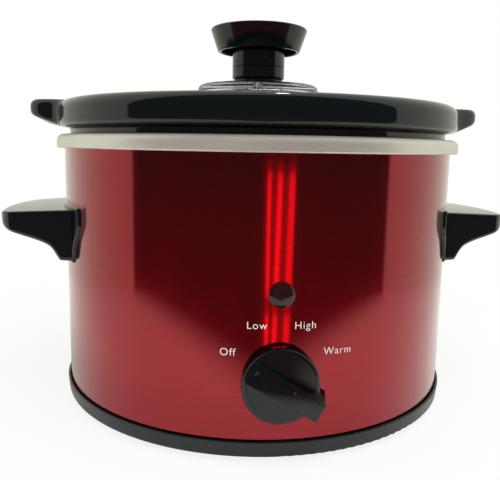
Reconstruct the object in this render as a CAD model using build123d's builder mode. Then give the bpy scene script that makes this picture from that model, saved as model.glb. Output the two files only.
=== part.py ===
from build123d import *
import os
from math import atan2, cos, degrees, radians, sin, sqrt

# A small round slow cooker: painted steel wrap on a plastic base, a heating well inside it,
# a loose stoneware crock, a glass lid and a rotary control on the front.
# Millimetres. Z is up, X runs through the two side handles, and the control faces -Y.
# The origin is on the cooker's axis, at the underside of the base. The feet reach lower.

os.makedirs("parts", exist_ok=True)

seat_gap = 0.3        # air left between pieces that only rest near each other
shaft_gap = 0.05      # radial clearance of a shaft that turns in a hole

# Wrap and base
wrap_radius = 92.0
wrap_sheet = 0.6
base_floor = 2.2      # thickness of the base's floor, on which the wrap stands
base_wall = 1.0
base_height = 6.5     # top of the base's upstanding wall
base_gap = 0.4        # shadow gap between the wrap and the base's wall
base_flare = 0.6      # how much wider the wall is at its top
seam_angle = 66.0     # the wrap's lap seam, behind, measured from +X
seam_width = 7.0
seam_groove = 0.25
seam_step = 0.6       # width of the groove at the seam

foot_radius = 7.0
foot_height = 2.0     # what stands out under the base
foot_recess = 1.0
foot_clearance = 0.2
foot_inset = 20.0     # from the wrap to the middles of the feet
foot_chamfer = 0.6
foot_stem_radius = 2.2
foot_head_lip = 0.7   # how much wider the stem's head is
foot_head_height = 1.8
foot_head_taper = 20.0

vent_count = 12
vent_inset = 42.0     # from the wrap to the middles of the vents
vent_length = 11.0
vent_width = 2.6

# Rim ring and heating well
rim_overhang = 3.3    # how far the ring stands out of the wrap
rim_bottom = 113.8
rim_top = 119.9
rim_sheet = 0.8
rim_round = 3.0
rim_return = 1.6      # how far the ring's lower edge turns in
rim_low_round = 0.7
rim_lap = 2.2         # from the ring's inner edge to the well's mouth
well_sheet = 0.8
well_room = 9.6       # between the wrap and the inside of the well's mouth
well_draft = 2.2      # how much narrower the well is at its floor
well_floor = 44.0         # inside face of its floor
well_corner = 9.0
well_mouth_round = 2.0

# Crock
neck_inset = 6.3      # from the rim's outside to the neck
neck_height = 2.5     # the neck shows as a dark gap between the rim and the lip
lip_overhang = 5.6    # how far the lip stands out of the neck
lip_height = 12.5
lip_top_round = 5.0
lip_low_round = 3.0
lip_lift = 0.8        # how much higher the lip's underside is at its edge
crock_wall = 6.2
crock_fit = 1.6       # radial room between the crock and the well
crock_lift = 2.5      # room under the crock
crock_floor = 7.0
crock_corner = 11.0
ledge_corner = 8.0
lip_width = 10.6      # from the lip's outside to the lid's seat
ledge_drop = 6.0      # how far the seat lies under the crest
ledge_width = 5.0
crest_width = 3.0     # flat part of the crest
crest_round = 1.6
lug_length = 11.9     # how far a lug stands out of the lip
lug_half = 23.0
lug_corner = 5.0      # how much narrower a lug is at its tip
lug_rise = 0.5        # how far its tip stands over the crest
lug_dip = 0.6         # how far its root starts below the crest
lug_tip_thickness = 6.2
lug_tip_round = 3.0
lug_knee = 7.5        # from the tip to where the underside turns down to the lip
lug_low_rise = 1.0    # where the underside meets the lip, over the lip's underside
lug_knee_rise = 1.6

# Lid
lid_fit = 0.9         # radial room between the lid and the crock
lid_thickness = 3.6
lid_disc_radius = 29.0
lid_rise = 16.1           # from the lid's seat to the top of its disc
crown_rise = 10.3         # from the seat to where the disc rises out of the dome
lid_skirt = 7.0           # width of the flat part on the seat
lid_dome_round = 20.0
disc_step = 1.2           # how much wider the disc is at its foot
disc_round = 2.2
knob_hole_radius = 3.2
lid_screw_radius = 2.0
lid_screw_head = 4.6
collar_radius = 12.2
collar_height = 3.0
stem_radius = 12.7
stem_height = 5.6         # of the piece on the collar, up to the seam
cup_clear = 7.4           # from the seam to the cup's lower edge
cup_low_radius = 19.8
cup_height = 10.7
cup_top_radius = 23.9
cup_wall = 1.8
cup_plate = 3.0
stem_wall = 2.4
boss_radius = 4.4
gasket_radius = 8.5
gasket_thickness = 1.2
lid_washer_radius = 7.0
lid_screw_head_height = 2.4
lid_screw_grip = 3.0      # how far the screw reaches up into the knob's top, from its plate

# Side handles
handle_low = 65.0
handle_height = 22.1      # at the wrap
handle_reach = 28.5       # middle of the end, from the wrap
corner_reach = 24.0       # the end's corners, before rounding
handle_corner_round = 9.0
tip_half = 30.0
root_half = 49.0
leg_reach = 5.8           # how far the leg's foot stands out of the wrap
knee_reach = 10.8         # where the underside turns from the leg to the grip
knee_height = 6.8         # above the leg's foot
tip_height = 13.4         # underside of the end, above the leg's foot
knee_round = 8.0
handle_droop = 6.0        # degrees, outward fall of the top
handle_crown = 1500.0     # radius of the top, from side to side
handle_round = 1.6
handle_low_round = 0.8
handle_wall = 3.0
flange_thickness = 1.8
flange_half = 53.3        # widest, a little under the top
flange_shoulder = 3.5     # how far under the top it is widest
flange_waist = 45.3       # half width above the leg's foot
flange_waist_height = 6.0
flange_low_half = 39.5
handle_screw_angle = 17.0
handle_screw_rise = 14.0  # above the handle's lower edge
handle_screw_radius = 2.0
handle_screw_length = 11.0
boss_wall = 2.4
handle_screw_head = 4.0
handle_screw_head_height = 2.4
washer_thickness = 0.8
washer_radius = 5.0
screw_clearance = 0.2
head_taper = 18.0
sheet_cut = 4.8           # depth of the holes cut through the wrap

# Control: rotary switch, spindle and knob
control_height = 29.4
pointer_angle = 150.0     # where the pointer stands at Off, from +X, seen from the front
knob_radius = 14.6
knob_gap = 0.5            # between the wrap and the knob
knob_skirt = 4.4          # thickness of the skirt
knob_round = 1.6
knob_pocket = 11.5
knob_plate = 1.7
grip_low_half = 5.0
grip_high_half = 3.7
grip_rise = 5.2           # how far the tail of the grip stands above the skirt
grip_tail = 15.8
grip_nose = 12.4
grip_draft = 2.4          # extra half width at the foot of the grip's tail
grip_edge = 0.3           # how far the grip's nose stands above the skirt
dot_reach = 10.7          # pointer dot, from the knob's axis
dot_radius = 0.9
dot_depth = 0.4
hub_radius = 5.2
hub_depth = 1.2
spindle_radius = 3.0
spindle_flat = 1.6        # distance of the flat from the spindle's axis
spindle_reach = 5.6       # how far it stands out of the wrap
bush_radius = 4.7
bush_reach = 2.3
bush_clearance = 0.1
nut_height = 1.9
nut_flats = 12.0
switch_pad = 2.4
pad_gap = 0.05            # between the curved pad and the wrap
switch_size = 26.0
switch_depth = 15.0
spindle_back = 7.0        # how far the spindle runs into the switch
tab_length = 7.0
tab_width = 4.8
tab_thickness = 0.8
tab_pitch = 7.0
tab_rows = 12.0           # between the two rows of tabs

# Indicator lamp
lamp_height = 63.0
lens_radius = 4.75
lens_height = 2.6
lens_flange = 0.8
lens_barrel = 3.9
lens_barrel_length = 6.0
lens_wall = 0.8
lens_clearance = 0.05
bulb_radius = 2.4
bulb_length = 6.4
retainer_radius = 6.8
retainer_thickness = 0.5

# Heater
band_rise = 6.0           # from the well's floor to the band
band_width = 46.0
band_thickness = 1.4
band_gap_angle = 30.0
clamp_thickness = 0.5
clamp_width = 7.0
clamp_inset = 10.0        # from the band's edges to the clamps
clamp_ear = 4.6        # how far the clamps' ears stand out
clamp_gap_angle = 9.0
ear_thickness = 1.0
ear_bolt_share = 0.55     # where the bolt passes, along the ear
bolt_overhang = 3.0       # how far the bolt stands out of the ears
bolt_radius = 1.0
fuse_radius = 2.0
fuse_length = 14.0
fuse_x = 34.0
fuse_chamfer = 0.4
clip_thickness = 0.6
clip_width = 5.0
clip_foot = 4.0           # how far each foot of the clip reaches out

# Tie bolt through the base, supply gland and terminal block
tie_radius = 2.5
tie_clearance = 0.2
tie_boss_radius = 13.0
tie_pocket_radius = 10.5
tie_pocket_depth = 6.4
tie_boss_height = 8.8
tie_nut_flats = 8.0
tie_nut_height = 4.0
tie_overhang = 0.8        # how far the bolt stands out of its nut
tie_flange_radius = 9.0   # the weld flange under the well
tie_flange_thickness = 1.5
gland_height = 19.0
gland_bore = 3.4
gland_neck = 6.0
gland_flange = 8.2
gland_flange_thickness = 2.2
gland_nose = 7.0
gland_nose_radius = 5.0
gland_lock = 7.4
gland_lock_thickness = 2.0
block_inset = 28.0        # from the wrap to the block's middle
block_length = 26.0
block_width = 15.0
block_height = 13.0
block_bore = 1.6
block_corner = 1.5
block_bore_rise = 6.0     # of the wire holes, above the block's foot
block_pitch = 15.0        # between the two ways
block_clamp_pitch = 6.3   # between the two clamp screws of a way
block_clamp_bore = 1.9
block_clamp_depth = 6.2   # down into the wire holes
block_recess = 3.9        # depth of the fixing screw's recess
block_screw_radius = 1.5
block_screw_head = 2.85
block_screw_head_height = 2.0
block_screw_floor = 0.8   # base left under the fixing screw


def outline(*corners):
    # Closed line through corners given as (across, up, rounding), for make_face in a sketch.
    with BuildLine() as line:
        FilletPolyline(*[corner[:2] for corner in corners],
                       radius=[corner[2] for corner in corners], close=True)
    return line.edges()


def facing(angle, reach, height):
    # Plane square to a radius of the cooker, at an angle from +X, looking outwards.
    outward = Vector(cos(radians(angle)), sin(radians(angle)), 0)
    across = Vector(-sin(radians(angle)), cos(radians(angle)), 0)
    return Plane(origin=outward * reach + Vector(0, 0, height), x_dir=across, z_dir=outward)


wrap_inner = wrap_radius - wrap_sheet
flange_low = rim_top - rim_sheet - well_sheet      # underside of the well's flange
base_radius = wrap_radius + base_gap + base_wall - base_flare
base_inner = wrap_radius + base_gap
foot_circle = wrap_radius - foot_inset
vent_circle = wrap_radius - vent_inset
block_y = wrap_radius - block_inset
rim_radius = wrap_radius + rim_overhang
well_top_radius = wrap_radius - well_room          # inside
well_bottom_radius = well_top_radius - well_draft
rim_inner = well_top_radius + rim_lap
neck_radius = rim_radius - neck_inset
lip_radius = neck_radius + lip_overhang
ledge_radius = lip_radius - lip_width
lug_reach = lip_radius + lug_length
handle_top = handle_low + handle_height
handle_tip = wrap_radius + handle_reach
handle_corner = wrap_radius + corner_reach
handle_screw_z = handle_low + handle_screw_rise
band_low = well_floor + band_rise
band_high = band_low + band_width
front = facing(-90, wrap_radius, control_height)
lamp_plane = facing(-90, wrap_radius, lamp_height)
rear = facing(90, wrap_radius, gland_height)
right_screws = (-handle_screw_angle, handle_screw_angle)
left_screws = (180 - handle_screw_angle, 180 + handle_screw_angle)
screw_angles = right_screws + left_screws

# ---------------------------------------------------------------- base and feet
with BuildPart() as base_pan:
    with BuildSketch(Plane.XZ):
        make_face(outline((0, 0, 0), (base_radius, 0, 1.2), (base_radius + base_flare, base_height, 0.4),
                          (base_inner, base_height, 0.3), (base_inner, base_floor, 0), (0, base_floor, 0)))
    revolve(axis=Axis.Z)
    with BuildSketch(Plane.XY):
        Circle(tie_boss_radius)
    extrude(amount=tie_boss_height)
    with BuildSketch(Plane.XY):
        Circle(tie_pocket_radius)
    extrude(amount=tie_pocket_depth, mode=Mode.SUBTRACT)
    with BuildSketch(Plane.XY):
        Circle(tie_radius + tie_clearance)
        with PolarLocations(foot_circle, 4, start_angle=45):
            Circle(foot_stem_radius)
        with PolarLocations(vent_circle, vent_count, start_angle=15):
            SlotOverall(vent_length, vent_width)
    extrude(amount=tie_boss_height, mode=Mode.SUBTRACT)
    with BuildSketch(Plane.XY):
        with PolarLocations(foot_circle, 4, start_angle=45):
            Circle(foot_radius + foot_clearance)
    extrude(amount=foot_recess, mode=Mode.SUBTRACT)
    with BuildSketch(Plane.XY.offset(base_floor)):
        with Locations((0, block_y)):
            Circle(block_screw_radius)
    extrude(amount=block_screw_floor - base_floor, mode=Mode.SUBTRACT)
base_pan.part.label = "base_pan"
export_step(base_pan.part, "parts/base_pan.step")

with BuildPart() as feet:
    with BuildSketch(Plane.XY.offset(-foot_height)):
        with PolarLocations(foot_circle, 4, start_angle=45):
            Circle(foot_radius)
    extrude(amount=foot_height + foot_recess)
    chamfer(feet.edges().group_by(Axis.Z)[0], foot_chamfer)
    with BuildSketch(Plane.XY.offset(foot_recess)):
        with PolarLocations(foot_circle, 4, start_angle=45):
            Circle(foot_stem_radius)
    extrude(amount=base_floor - foot_recess)
    with BuildSketch(Plane.XY.offset(base_floor)):
        with PolarLocations(foot_circle, 4, start_angle=45):
            Circle(foot_stem_radius + foot_head_lip)
    extrude(amount=foot_head_height, taper=foot_head_taper)
feet.part.label = "feet"
export_step(feet.part, "parts/feet.step")

# ---------------------------------------------------------------- painted wrap
with BuildPart() as outer_wrap:
    with BuildSketch(Plane.XY.offset(base_floor)):
        Circle(wrap_radius)
        Circle(wrap_inner, mode=Mode.SUBTRACT)
    extrude(amount=flange_low - base_floor)
    seam_half = degrees(seam_width / wrap_radius) / 2
    with BuildSketch(Plane.XZ.rotated((0, 0, seam_angle - seam_half))):
        with Locations((wrap_inner, (base_floor + flange_low) / 2)):
            Rectangle(wrap_sheet, flange_low - base_floor - 2, align=(Align.MAX, Align.CENTER))
    revolve(axis=Axis.Z, revolution_arc=2 * seam_half)
    with BuildSketch(facing(seam_angle + seam_half, wrap_radius, 0)):
        with Locations((0, (base_floor + flange_low) / 2)):
            Rectangle(seam_step, flange_low - base_floor)
    extrude(amount=-seam_groove, mode=Mode.SUBTRACT)
    with BuildSketch(front):
        Circle(bush_radius + bush_clearance)
    extrude(amount=-sheet_cut, mode=Mode.SUBTRACT)
    with BuildSketch(lamp_plane):
        Circle(lens_barrel + lens_clearance)
    extrude(amount=-sheet_cut, mode=Mode.SUBTRACT)
    with BuildSketch(rear):
        Circle(gland_neck)
    extrude(amount=-sheet_cut, mode=Mode.SUBTRACT)
    for angle in screw_angles:
        with BuildSketch(facing(angle, wrap_radius, handle_screw_z)):
            Circle(handle_screw_radius + screw_clearance)
        extrude(amount=-sheet_cut, mode=Mode.SUBTRACT)
outer_wrap.part.label = "outer_wrap"
export_step(outer_wrap.part, "parts/outer_wrap.step")

# ---------------------------------------------------------------- rim ring and heating well
with BuildPart() as rim_ring:
    with BuildSketch(Plane.XZ):
        outer, inner = rim_radius, rim_radius - rim_sheet
        make_face(outline((rim_inner, rim_top, 0.3), (outer, rim_top, rim_round), (outer, rim_bottom, rim_low_round),
                          (outer - rim_return, rim_bottom, 0), (outer - rim_return, rim_bottom + rim_sheet, 0),
                          (inner, rim_bottom + rim_sheet, 0.1), (inner, rim_top - rim_sheet, rim_round - rim_sheet),
                          (rim_inner, rim_top - rim_sheet, 0.3)))
    revolve(axis=Axis.Z)
rim_ring.part.label = "rim_ring"
export_step(rim_ring.part, "parts/rim_ring.step")

well_base = well_floor - well_sheet
well_flange = rim_radius - rim_round
well_rise = flange_low - well_floor
well_slope = (well_top_radius - well_bottom_radius) / well_rise


def well_outer(height):
    # Outside radius of the well's drafted wall at a height.
    return well_bottom_radius + well_sheet + well_slope * (height - well_floor)


with BuildPart() as heating_well:
    with BuildSketch(Plane.XZ):
        make_face(outline((0, well_base, 0),
                          (well_outer(well_base), well_base, well_corner + well_sheet),
                          (well_outer(flange_low), flange_low, well_mouth_round - well_sheet), (well_flange, flange_low, 0.3),
                          (well_flange, flange_low + well_sheet, 0.3),
                          (well_top_radius, flange_low + well_sheet, well_mouth_round),
                          (well_bottom_radius, well_floor, well_corner), (0, well_floor, 0)))
    revolve(axis=Axis.Z)
heating_well.part.label = "heating_well"
export_step(heating_well.part, "parts/heating_well.step")

# ---------------------------------------------------------------- heater on the well
band_arc = 360 - band_gap_angle
with BuildPart() as heating_band:
    with BuildSketch(Plane.XZ.rotated((0, 0, -90 + band_gap_angle / 2))):
        low, high = well_outer(band_low), well_outer(band_high)
        make_face(outline((low, band_low, 0), (low + band_thickness, band_low, 0.3),
                          (high + band_thickness, band_high, 0.3), (high, band_high, 0)))
    revolve(axis=Axis.Z, revolution_arc=band_arc)
heating_band.part.label = "heating_band"
export_step(heating_band.part, "parts/heating_band.step")

clamp_arc = 360 - clamp_gap_angle
clamp_heights = (band_low + clamp_inset, band_high - clamp_inset)
bolt_reach = well_outer(band_high) + band_thickness + clamp_ear * ear_bolt_share
bolt_half = well_outer(band_high) * radians(clamp_gap_angle) / 2 + bolt_overhang
with BuildPart() as band_clamps:
    for middle in clamp_heights:
        bottom, top = middle - clamp_width / 2, middle + clamp_width / 2
        low, high = well_outer(bottom) + band_thickness, well_outer(top) + band_thickness
        with BuildSketch(Plane.XZ.rotated((0, 0, 90 + clamp_gap_angle / 2))):
            make_face(outline((low, bottom, 0), (low + clamp_thickness, bottom, 0),
                              (high + clamp_thickness, top, 0), (high, top, 0)))
        revolve(axis=Axis.Z, revolution_arc=clamp_arc)
        for turn in (-1, 1):
            with BuildSketch(Plane.XY.offset(bottom).rotated((0, 0, 90 + turn * clamp_gap_angle / 2))):
                with Locations((high, turn * ear_thickness / 2)):
                    Rectangle(clamp_ear, ear_thickness, align=(Align.MIN, Align.CENTER))
            extrude(amount=clamp_width)
    with BuildSketch(Plane.YZ):
        with Locations(*[(bolt_reach, middle) for middle in clamp_heights]):
            Circle(bolt_radius)
    extrude(amount=bolt_half, both=True, mode=Mode.SUBTRACT)
band_clamps.part.label = "band_clamps"
export_step(band_clamps.part, "parts/band_clamps.step")

with BuildPart() as clamp_bolts:
    with BuildSketch(Plane.YZ):
        with Locations(*[(bolt_reach, middle) for middle in clamp_heights]):
            Circle(bolt_radius)
    extrude(amount=bolt_half, both=True)
clamp_bolts.part.label = "clamp_bolts"
export_step(clamp_bolts.part, "parts/clamp_bolts.step")

with BuildPart() as thermal_fuse:
    with BuildSketch(Plane.XZ.offset(-fuse_length / 2)):
        with Locations((fuse_x, well_base - fuse_radius)):
            Circle(fuse_radius)
    extrude(amount=fuse_length)
    chamfer(thermal_fuse.edges(), fuse_chamfer)
thermal_fuse.part.label = "thermal_fuse"
export_step(thermal_fuse.part, "parts/thermal_fuse.step")

with BuildPart() as fuse_clip:
    with BuildSketch(Plane.XZ.offset(-clip_width / 2)):
        with Locations((fuse_x, well_base - fuse_radius)):
            SlotCenterToCenter(2 * fuse_radius, 2 * (fuse_radius + clip_thickness), rotation=90)
            SlotCenterToCenter(2 * fuse_radius, 2 * fuse_radius, rotation=90, mode=Mode.SUBTRACT)
        with Locations((fuse_x, well_base - clip_thickness / 2)):
            Rectangle(2 * (fuse_radius + clip_foot) + 4 * fuse_radius - 2 * fuse_radius, clip_thickness)
            Rectangle(2 * fuse_radius, clip_thickness, mode=Mode.SUBTRACT)
        with Locations((fuse_x, well_base)):
            Rectangle(8 * fuse_radius, 8 * fuse_radius, align=(Align.CENTER, Align.MIN),
                      mode=Mode.SUBTRACT)
    extrude(amount=clip_width)
fuse_clip.part.label = "fuse_clip"
export_step(fuse_clip.part, "parts/fuse_clip.step")

# ---------------------------------------------------------------- tie bolt under the well
washer_low = tie_pocket_depth - washer_thickness
tie_low = washer_low - tie_nut_height - tie_overhang
with BuildPart() as tie_bolt:
    with BuildSketch(Plane.XY.offset(tie_low)):
        Circle(tie_radius)
    extrude(amount=well_base - tie_low)
    with BuildSketch(Plane.XY.offset(well_base)):
        Circle(tie_flange_radius)
    extrude(amount=-tie_flange_thickness)
tie_bolt.part.label = "tie_bolt"
export_step(tie_bolt.part, "parts/tie_bolt.step")

with BuildPart() as tie_washer:
    with BuildSketch(Plane.XY.offset(washer_low)):
        Circle(tie_pocket_radius - 2)
        Circle(tie_radius, mode=Mode.SUBTRACT)
    extrude(amount=washer_thickness)
tie_washer.part.label = "tie_washer"
export_step(tie_washer.part, "parts/tie_washer.step")

with BuildPart() as tie_nut:
    with BuildSketch(Plane.XY.offset(washer_low)):
        RegularPolygon(tie_nut_flats / 2, 6, major_radius=False)
        Circle(tie_radius, mode=Mode.SUBTRACT)
    extrude(amount=-tie_nut_height)
tie_nut.part.label = "tie_nut"
export_step(tie_nut.part, "parts/tie_nut.step")

# ---------------------------------------------------------------- supply gland and terminal block
lock_face = wrap_radius - sqrt(wrap_inner ** 2 - gland_lock ** 2)
rear_axis = Axis((0, wrap_radius, gland_height), (0, 1, 0))
with BuildPart() as cord_gland:
    with BuildSketch(Plane(origin=(0, wrap_radius, gland_height), x_dir=(1, 0, 0), z_dir=(0, 0, 1))):
        make_face(outline((gland_bore, gland_nose, 0.5), (gland_nose_radius, gland_nose, 0.8),
                          (gland_nose_radius + 0.9, gland_flange_thickness, 0.5),
                          (gland_flange, gland_flange_thickness, 0.8), (gland_flange, 0, 0),
                          (gland_neck, 0, 0), (gland_neck, -lock_face, 0), (gland_lock, -lock_face, 0),
                          (gland_lock - 0.8, -lock_face - gland_lock_thickness, 0.4),
                          (gland_bore, -lock_face - gland_lock_thickness, 0.3)))
    revolve(axis=rear_axis)
cord_gland.part.label = "cord_gland"
export_step(cord_gland.part, "parts/cord_gland.step")

with BuildPart() as terminal_block:
    with BuildSketch(Plane.XY.offset(base_floor)):
        with Locations((0, block_y)):
            RectangleRounded(block_length, block_width, block_corner)
    extrude(amount=block_height)
    with BuildSketch(Plane.XZ.offset(-block_y)):
        with Locations((0, base_floor + block_bore_rise)):
            with GridLocations(block_pitch, 1, 2, 1):
                Circle(block_bore)
    extrude(amount=block_width, both=True, mode=Mode.SUBTRACT)
    with Locations((0, block_y, base_floor + block_height)):
        CounterBoreHole(block_screw_radius, block_screw_head + tie_clearance, block_recess)
    with Locations((0, block_y, base_floor + block_height)):
        with GridLocations(block_pitch, block_clamp_pitch, 2, 2):
            Hole(block_clamp_bore, block_clamp_depth)
terminal_block.part.label = "terminal_block"
export_step(terminal_block.part, "parts/terminal_block.step")

with BuildPart() as terminal_screw:
    screw_seat = base_floor + block_height - block_recess
    with BuildSketch(Plane.XY.offset(screw_seat)):
        with Locations((0, block_y)):
            Circle(block_screw_head)
    extrude(amount=block_screw_head_height)
    fillet(terminal_screw.edges().group_by(Axis.Z)[-1], 0.8)
    with BuildSketch(Plane.XY.offset(screw_seat)):
        with Locations((0, block_y)):
            Circle(block_screw_radius)
    extrude(amount=block_screw_floor + 0.1 - screw_seat)
terminal_screw.part.label = "terminal_screw"
export_step(terminal_screw.part, "parts/terminal_screw.step")

# ---------------------------------------------------------------- stoneware crock
lip_low = rim_top + neck_height
crest = lip_low + lip_height
crock_top_radius = well_top_radius - crock_fit
crock_base_radius = well_bottom_radius - crock_fit
crock_base = well_floor + crock_lift
ledge_height = crest - ledge_drop
lug_root = lip_radius - lip_top_round + 1
lug_top = crest + lug_rise
lug_low = lip_low + lug_low_rise
with BuildPart() as crock_lug:
    with BuildSketch(Plane.XZ):
        make_face(outline((lug_root, crest - lug_dip, 0), (lug_reach, lug_top, lug_tip_round),
                          (lug_reach, lug_top - lug_tip_thickness, lug_tip_round),
                          (lug_reach - lug_knee, lug_low + lug_knee_rise, 2 * lug_tip_round),
                          (lip_radius - 2, lug_low, 0), (lug_root, lug_low, 0)))
    extrude(amount=lug_half, both=True)
    with BuildSketch(Plane.XY.offset(lip_low)):
        make_face(outline((lug_root, -lug_half, 0), (lip_radius + 2, -lug_half, 6),
                          (lug_reach, lug_corner - lug_half, 8), (lug_reach, lug_half - lug_corner, 8),
                          (lip_radius + 2, lug_half, 6), (lug_root, lug_half, 0)))
    extrude(amount=lip_height + 1, mode=Mode.INTERSECT)

with BuildPart() as crock:
    with BuildSketch(Plane.XZ):
        make_face(outline((0, crock_base, 0), (crock_base_radius, crock_base, crock_corner),
                          (crock_top_radius, rim_top, 0.8), (neck_radius, rim_top, 0.4),
                          (neck_radius, lip_low, 0.6), (lip_radius, lip_low + lip_lift, lip_low_round),
                          (lip_radius, crest, lip_top_round),
                          (lip_radius - lip_top_round - crest_width, crest, crest_round),
                          (ledge_radius, ledge_height, 0.8),
                          (ledge_radius - ledge_width, ledge_height, 1.5),
                          (crock_top_radius - crock_wall, lip_low, ledge_corner),
                          (crock_base_radius - crock_wall, crock_base + crock_floor, crock_corner + 2),
                          (0, crock_base + crock_floor, 0)))
    revolve(axis=Axis.Z)
    add(crock_lug.part)
    mirror(crock_lug.part, about=Plane.YZ)
crock.part.label = "crock"
export_step(crock.part, "parts/crock.step")

# ---------------------------------------------------------------- glass lid and its knob
lid_radius = ledge_radius - lid_fit
lid_disc_top = ledge_height + lid_rise
lid_crown = ledge_height + crown_rise
lid_shoulder = lid_radius - lid_skirt
disc_under = lid_disc_top - lid_thickness
with BuildPart() as lid_glass:
    with BuildSketch(Plane.XZ):
        make_face(outline((knob_hole_radius, lid_disc_top, 0), (lid_disc_radius, lid_disc_top, disc_round),
                          (lid_disc_radius + disc_step, lid_crown, 1.2),
                          (lid_shoulder, ledge_height + lid_thickness + 0.2, lid_dome_round),
                          (lid_radius, ledge_height + lid_thickness, 1.6), (lid_radius, ledge_height, 0.9),
                          (lid_shoulder, ledge_height, 4),
                          (lid_disc_radius - 1.5, lid_crown - lid_thickness, 2.5),
                          (lid_disc_radius - 3, disc_under, 1.2), (knob_hole_radius, disc_under, 0)))
    revolve(axis=Axis.Z)
lid_glass.part.label = "lid_glass"
export_step(lid_glass.part, "parts/lid_glass.step")

collar_top = lid_disc_top + collar_height
stem_seam = collar_top + stem_height
cup_low = stem_seam + cup_clear
cup_top = cup_low + cup_height
with BuildPart() as lid_knob_collar:
    with BuildSketch(Plane.XZ):
        make_face(outline((lid_screw_radius, lid_disc_top, 0), (collar_radius, lid_disc_top, 0.5),
                          (collar_radius, collar_top, 0.9), (lid_screw_radius, collar_top, 0)))
    revolve(axis=Axis.Z)
lid_knob_collar.part.label = "lid_knob_collar"
export_step(lid_knob_collar.part, "parts/lid_knob_collar.step")

stem_inner = stem_radius - stem_wall
with BuildPart() as lid_knob_stem:
    with BuildSketch(Plane.XZ):
        make_face(outline((lid_screw_radius, collar_top, 0), (stem_radius, collar_top, 0.9),
                          (stem_radius, stem_seam, 0.3), (stem_inner, stem_seam, 0),
                          (stem_inner, collar_top + stem_wall, 0.5), (boss_radius, collar_top + stem_wall, 0.5),
                          (boss_radius, stem_seam, 0), (lid_screw_radius, stem_seam, 0)))
    revolve(axis=Axis.Z)
lid_knob_stem.part.label = "lid_knob_stem"
export_step(lid_knob_stem.part, "parts/lid_knob_stem.step")

plate_low = cup_top - cup_plate
cup_slope = (cup_top_radius - cup_low_radius) / (cup_top - cup_low)
screw_top = plate_low - lid_screw_grip
with BuildPart() as lid_knob:
    with BuildSketch(Plane.XZ):
        make_face(outline((0, cup_top, 0), (cup_top_radius, cup_top, 0.7), (cup_low_radius, cup_low, 0.5),
                          (cup_low_radius - cup_wall, cup_low, 0.4),
                          (cup_low_radius - cup_wall + cup_slope * (plate_low - cup_low), plate_low, 1.0),
                          (stem_radius, plate_low, 1.0), (stem_radius, stem_seam, 0.3),
                          (stem_inner, stem_seam, 0), (stem_inner, plate_low, 0.8),
                          (boss_radius, plate_low, 0.8), (boss_radius, stem_seam, 0),
                          (lid_screw_radius, stem_seam, 0), (lid_screw_radius, screw_top, 0),
                          (0, screw_top, 0)))
    revolve(axis=Axis.Z)
lid_knob.part.label = "lid_knob"
export_step(lid_knob.part, "parts/lid_knob.step")

gasket_low = disc_under - gasket_thickness
with BuildPart() as lid_gasket:
    with BuildSketch(Plane.XY.offset(gasket_low)):
        Circle(gasket_radius)
        Circle(lid_screw_radius, mode=Mode.SUBTRACT)
    extrude(amount=gasket_thickness)
    fillet(lid_gasket.edges().group_by(Axis.Z)[0].sort_by(SortBy.RADIUS)[-1], 0.5)
lid_gasket.part.label = "lid_gasket"
export_step(lid_gasket.part, "parts/lid_gasket.step")

with BuildPart() as lid_washer:
    with BuildSketch(Plane.XY.offset(gasket_low)):
        Circle(lid_washer_radius)
        Circle(lid_screw_radius, mode=Mode.SUBTRACT)
    extrude(amount=-washer_thickness)
lid_washer.part.label = "lid_washer"
export_step(lid_washer.part, "parts/lid_washer.step")

with BuildPart() as lid_screw:
    screw_seat = gasket_low - washer_thickness
    with BuildSketch(Plane.XY.offset(screw_seat)):
        Circle(lid_screw_head)
    extrude(amount=-lid_screw_head_height)
    fillet(lid_screw.edges().group_by(Axis.Z)[0], 1.2)
    with BuildSketch(Plane.XY.offset(screw_seat)):
        Circle(lid_screw_radius)
    extrude(amount=screw_top - screw_seat - 0.5)
lid_screw.part.label = "lid_screw"
export_step(lid_screw.part, "parts/lid_screw.step")

# ---------------------------------------------------------------- side handles
root_x = sqrt(wrap_inner ** 2 - flange_half ** 2) - 2
root_reach = root_x - 10          # inside every point of the root
sweep = 50                        # degrees each way that the side view is swept round the wrap
open_top = handle_top + 5         # above every point of the top
crown_plane = Plane(origin=(wrap_radius, 0, handle_top), x_dir=(0, 1, 0),
                    z_dir=(cos(radians(handle_droop)), 0, -sin(radians(handle_droop))))


def grip_plan(inset):
    # Plan of a handle's grip: wide at the wrap, with a slightly bowed end.
    corner = handle_corner_round - inset
    return outline((root_x, inset - root_half, 0), (handle_corner - inset, inset - tip_half, corner),
                   (handle_tip - inset, 0, 90), (handle_corner - inset, tip_half - inset, corner),
                   (root_x, root_half - inset, 0))


def grip_side(inset):
    # Side view of a handle's grip, open above: the underside sweeps down into the leg.
    foot = handle_low + inset
    return outline((root_reach, foot, 0), (wrap_radius + leg_reach - inset, foot, 1.0),
                   (wrap_radius + knee_reach - inset, foot + knee_height, knee_round),
                   (handle_tip + 5, foot + tip_height + 1.2, 0), (handle_tip + 5, open_top, 0),
                   (root_reach, open_top, 0))


def crown(inset):
    # Everything below the handle's bowed top, in the plane across it.
    with BuildLine() as line:
        arc = CenterArc((0, -handle_crown - inset), handle_crown, 86, 8)
        Polyline(arc @ 1, (-2 * flange_half, -handle_low), (2 * flange_half, -handle_low), arc @ 0)
    return line.edges()


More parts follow.
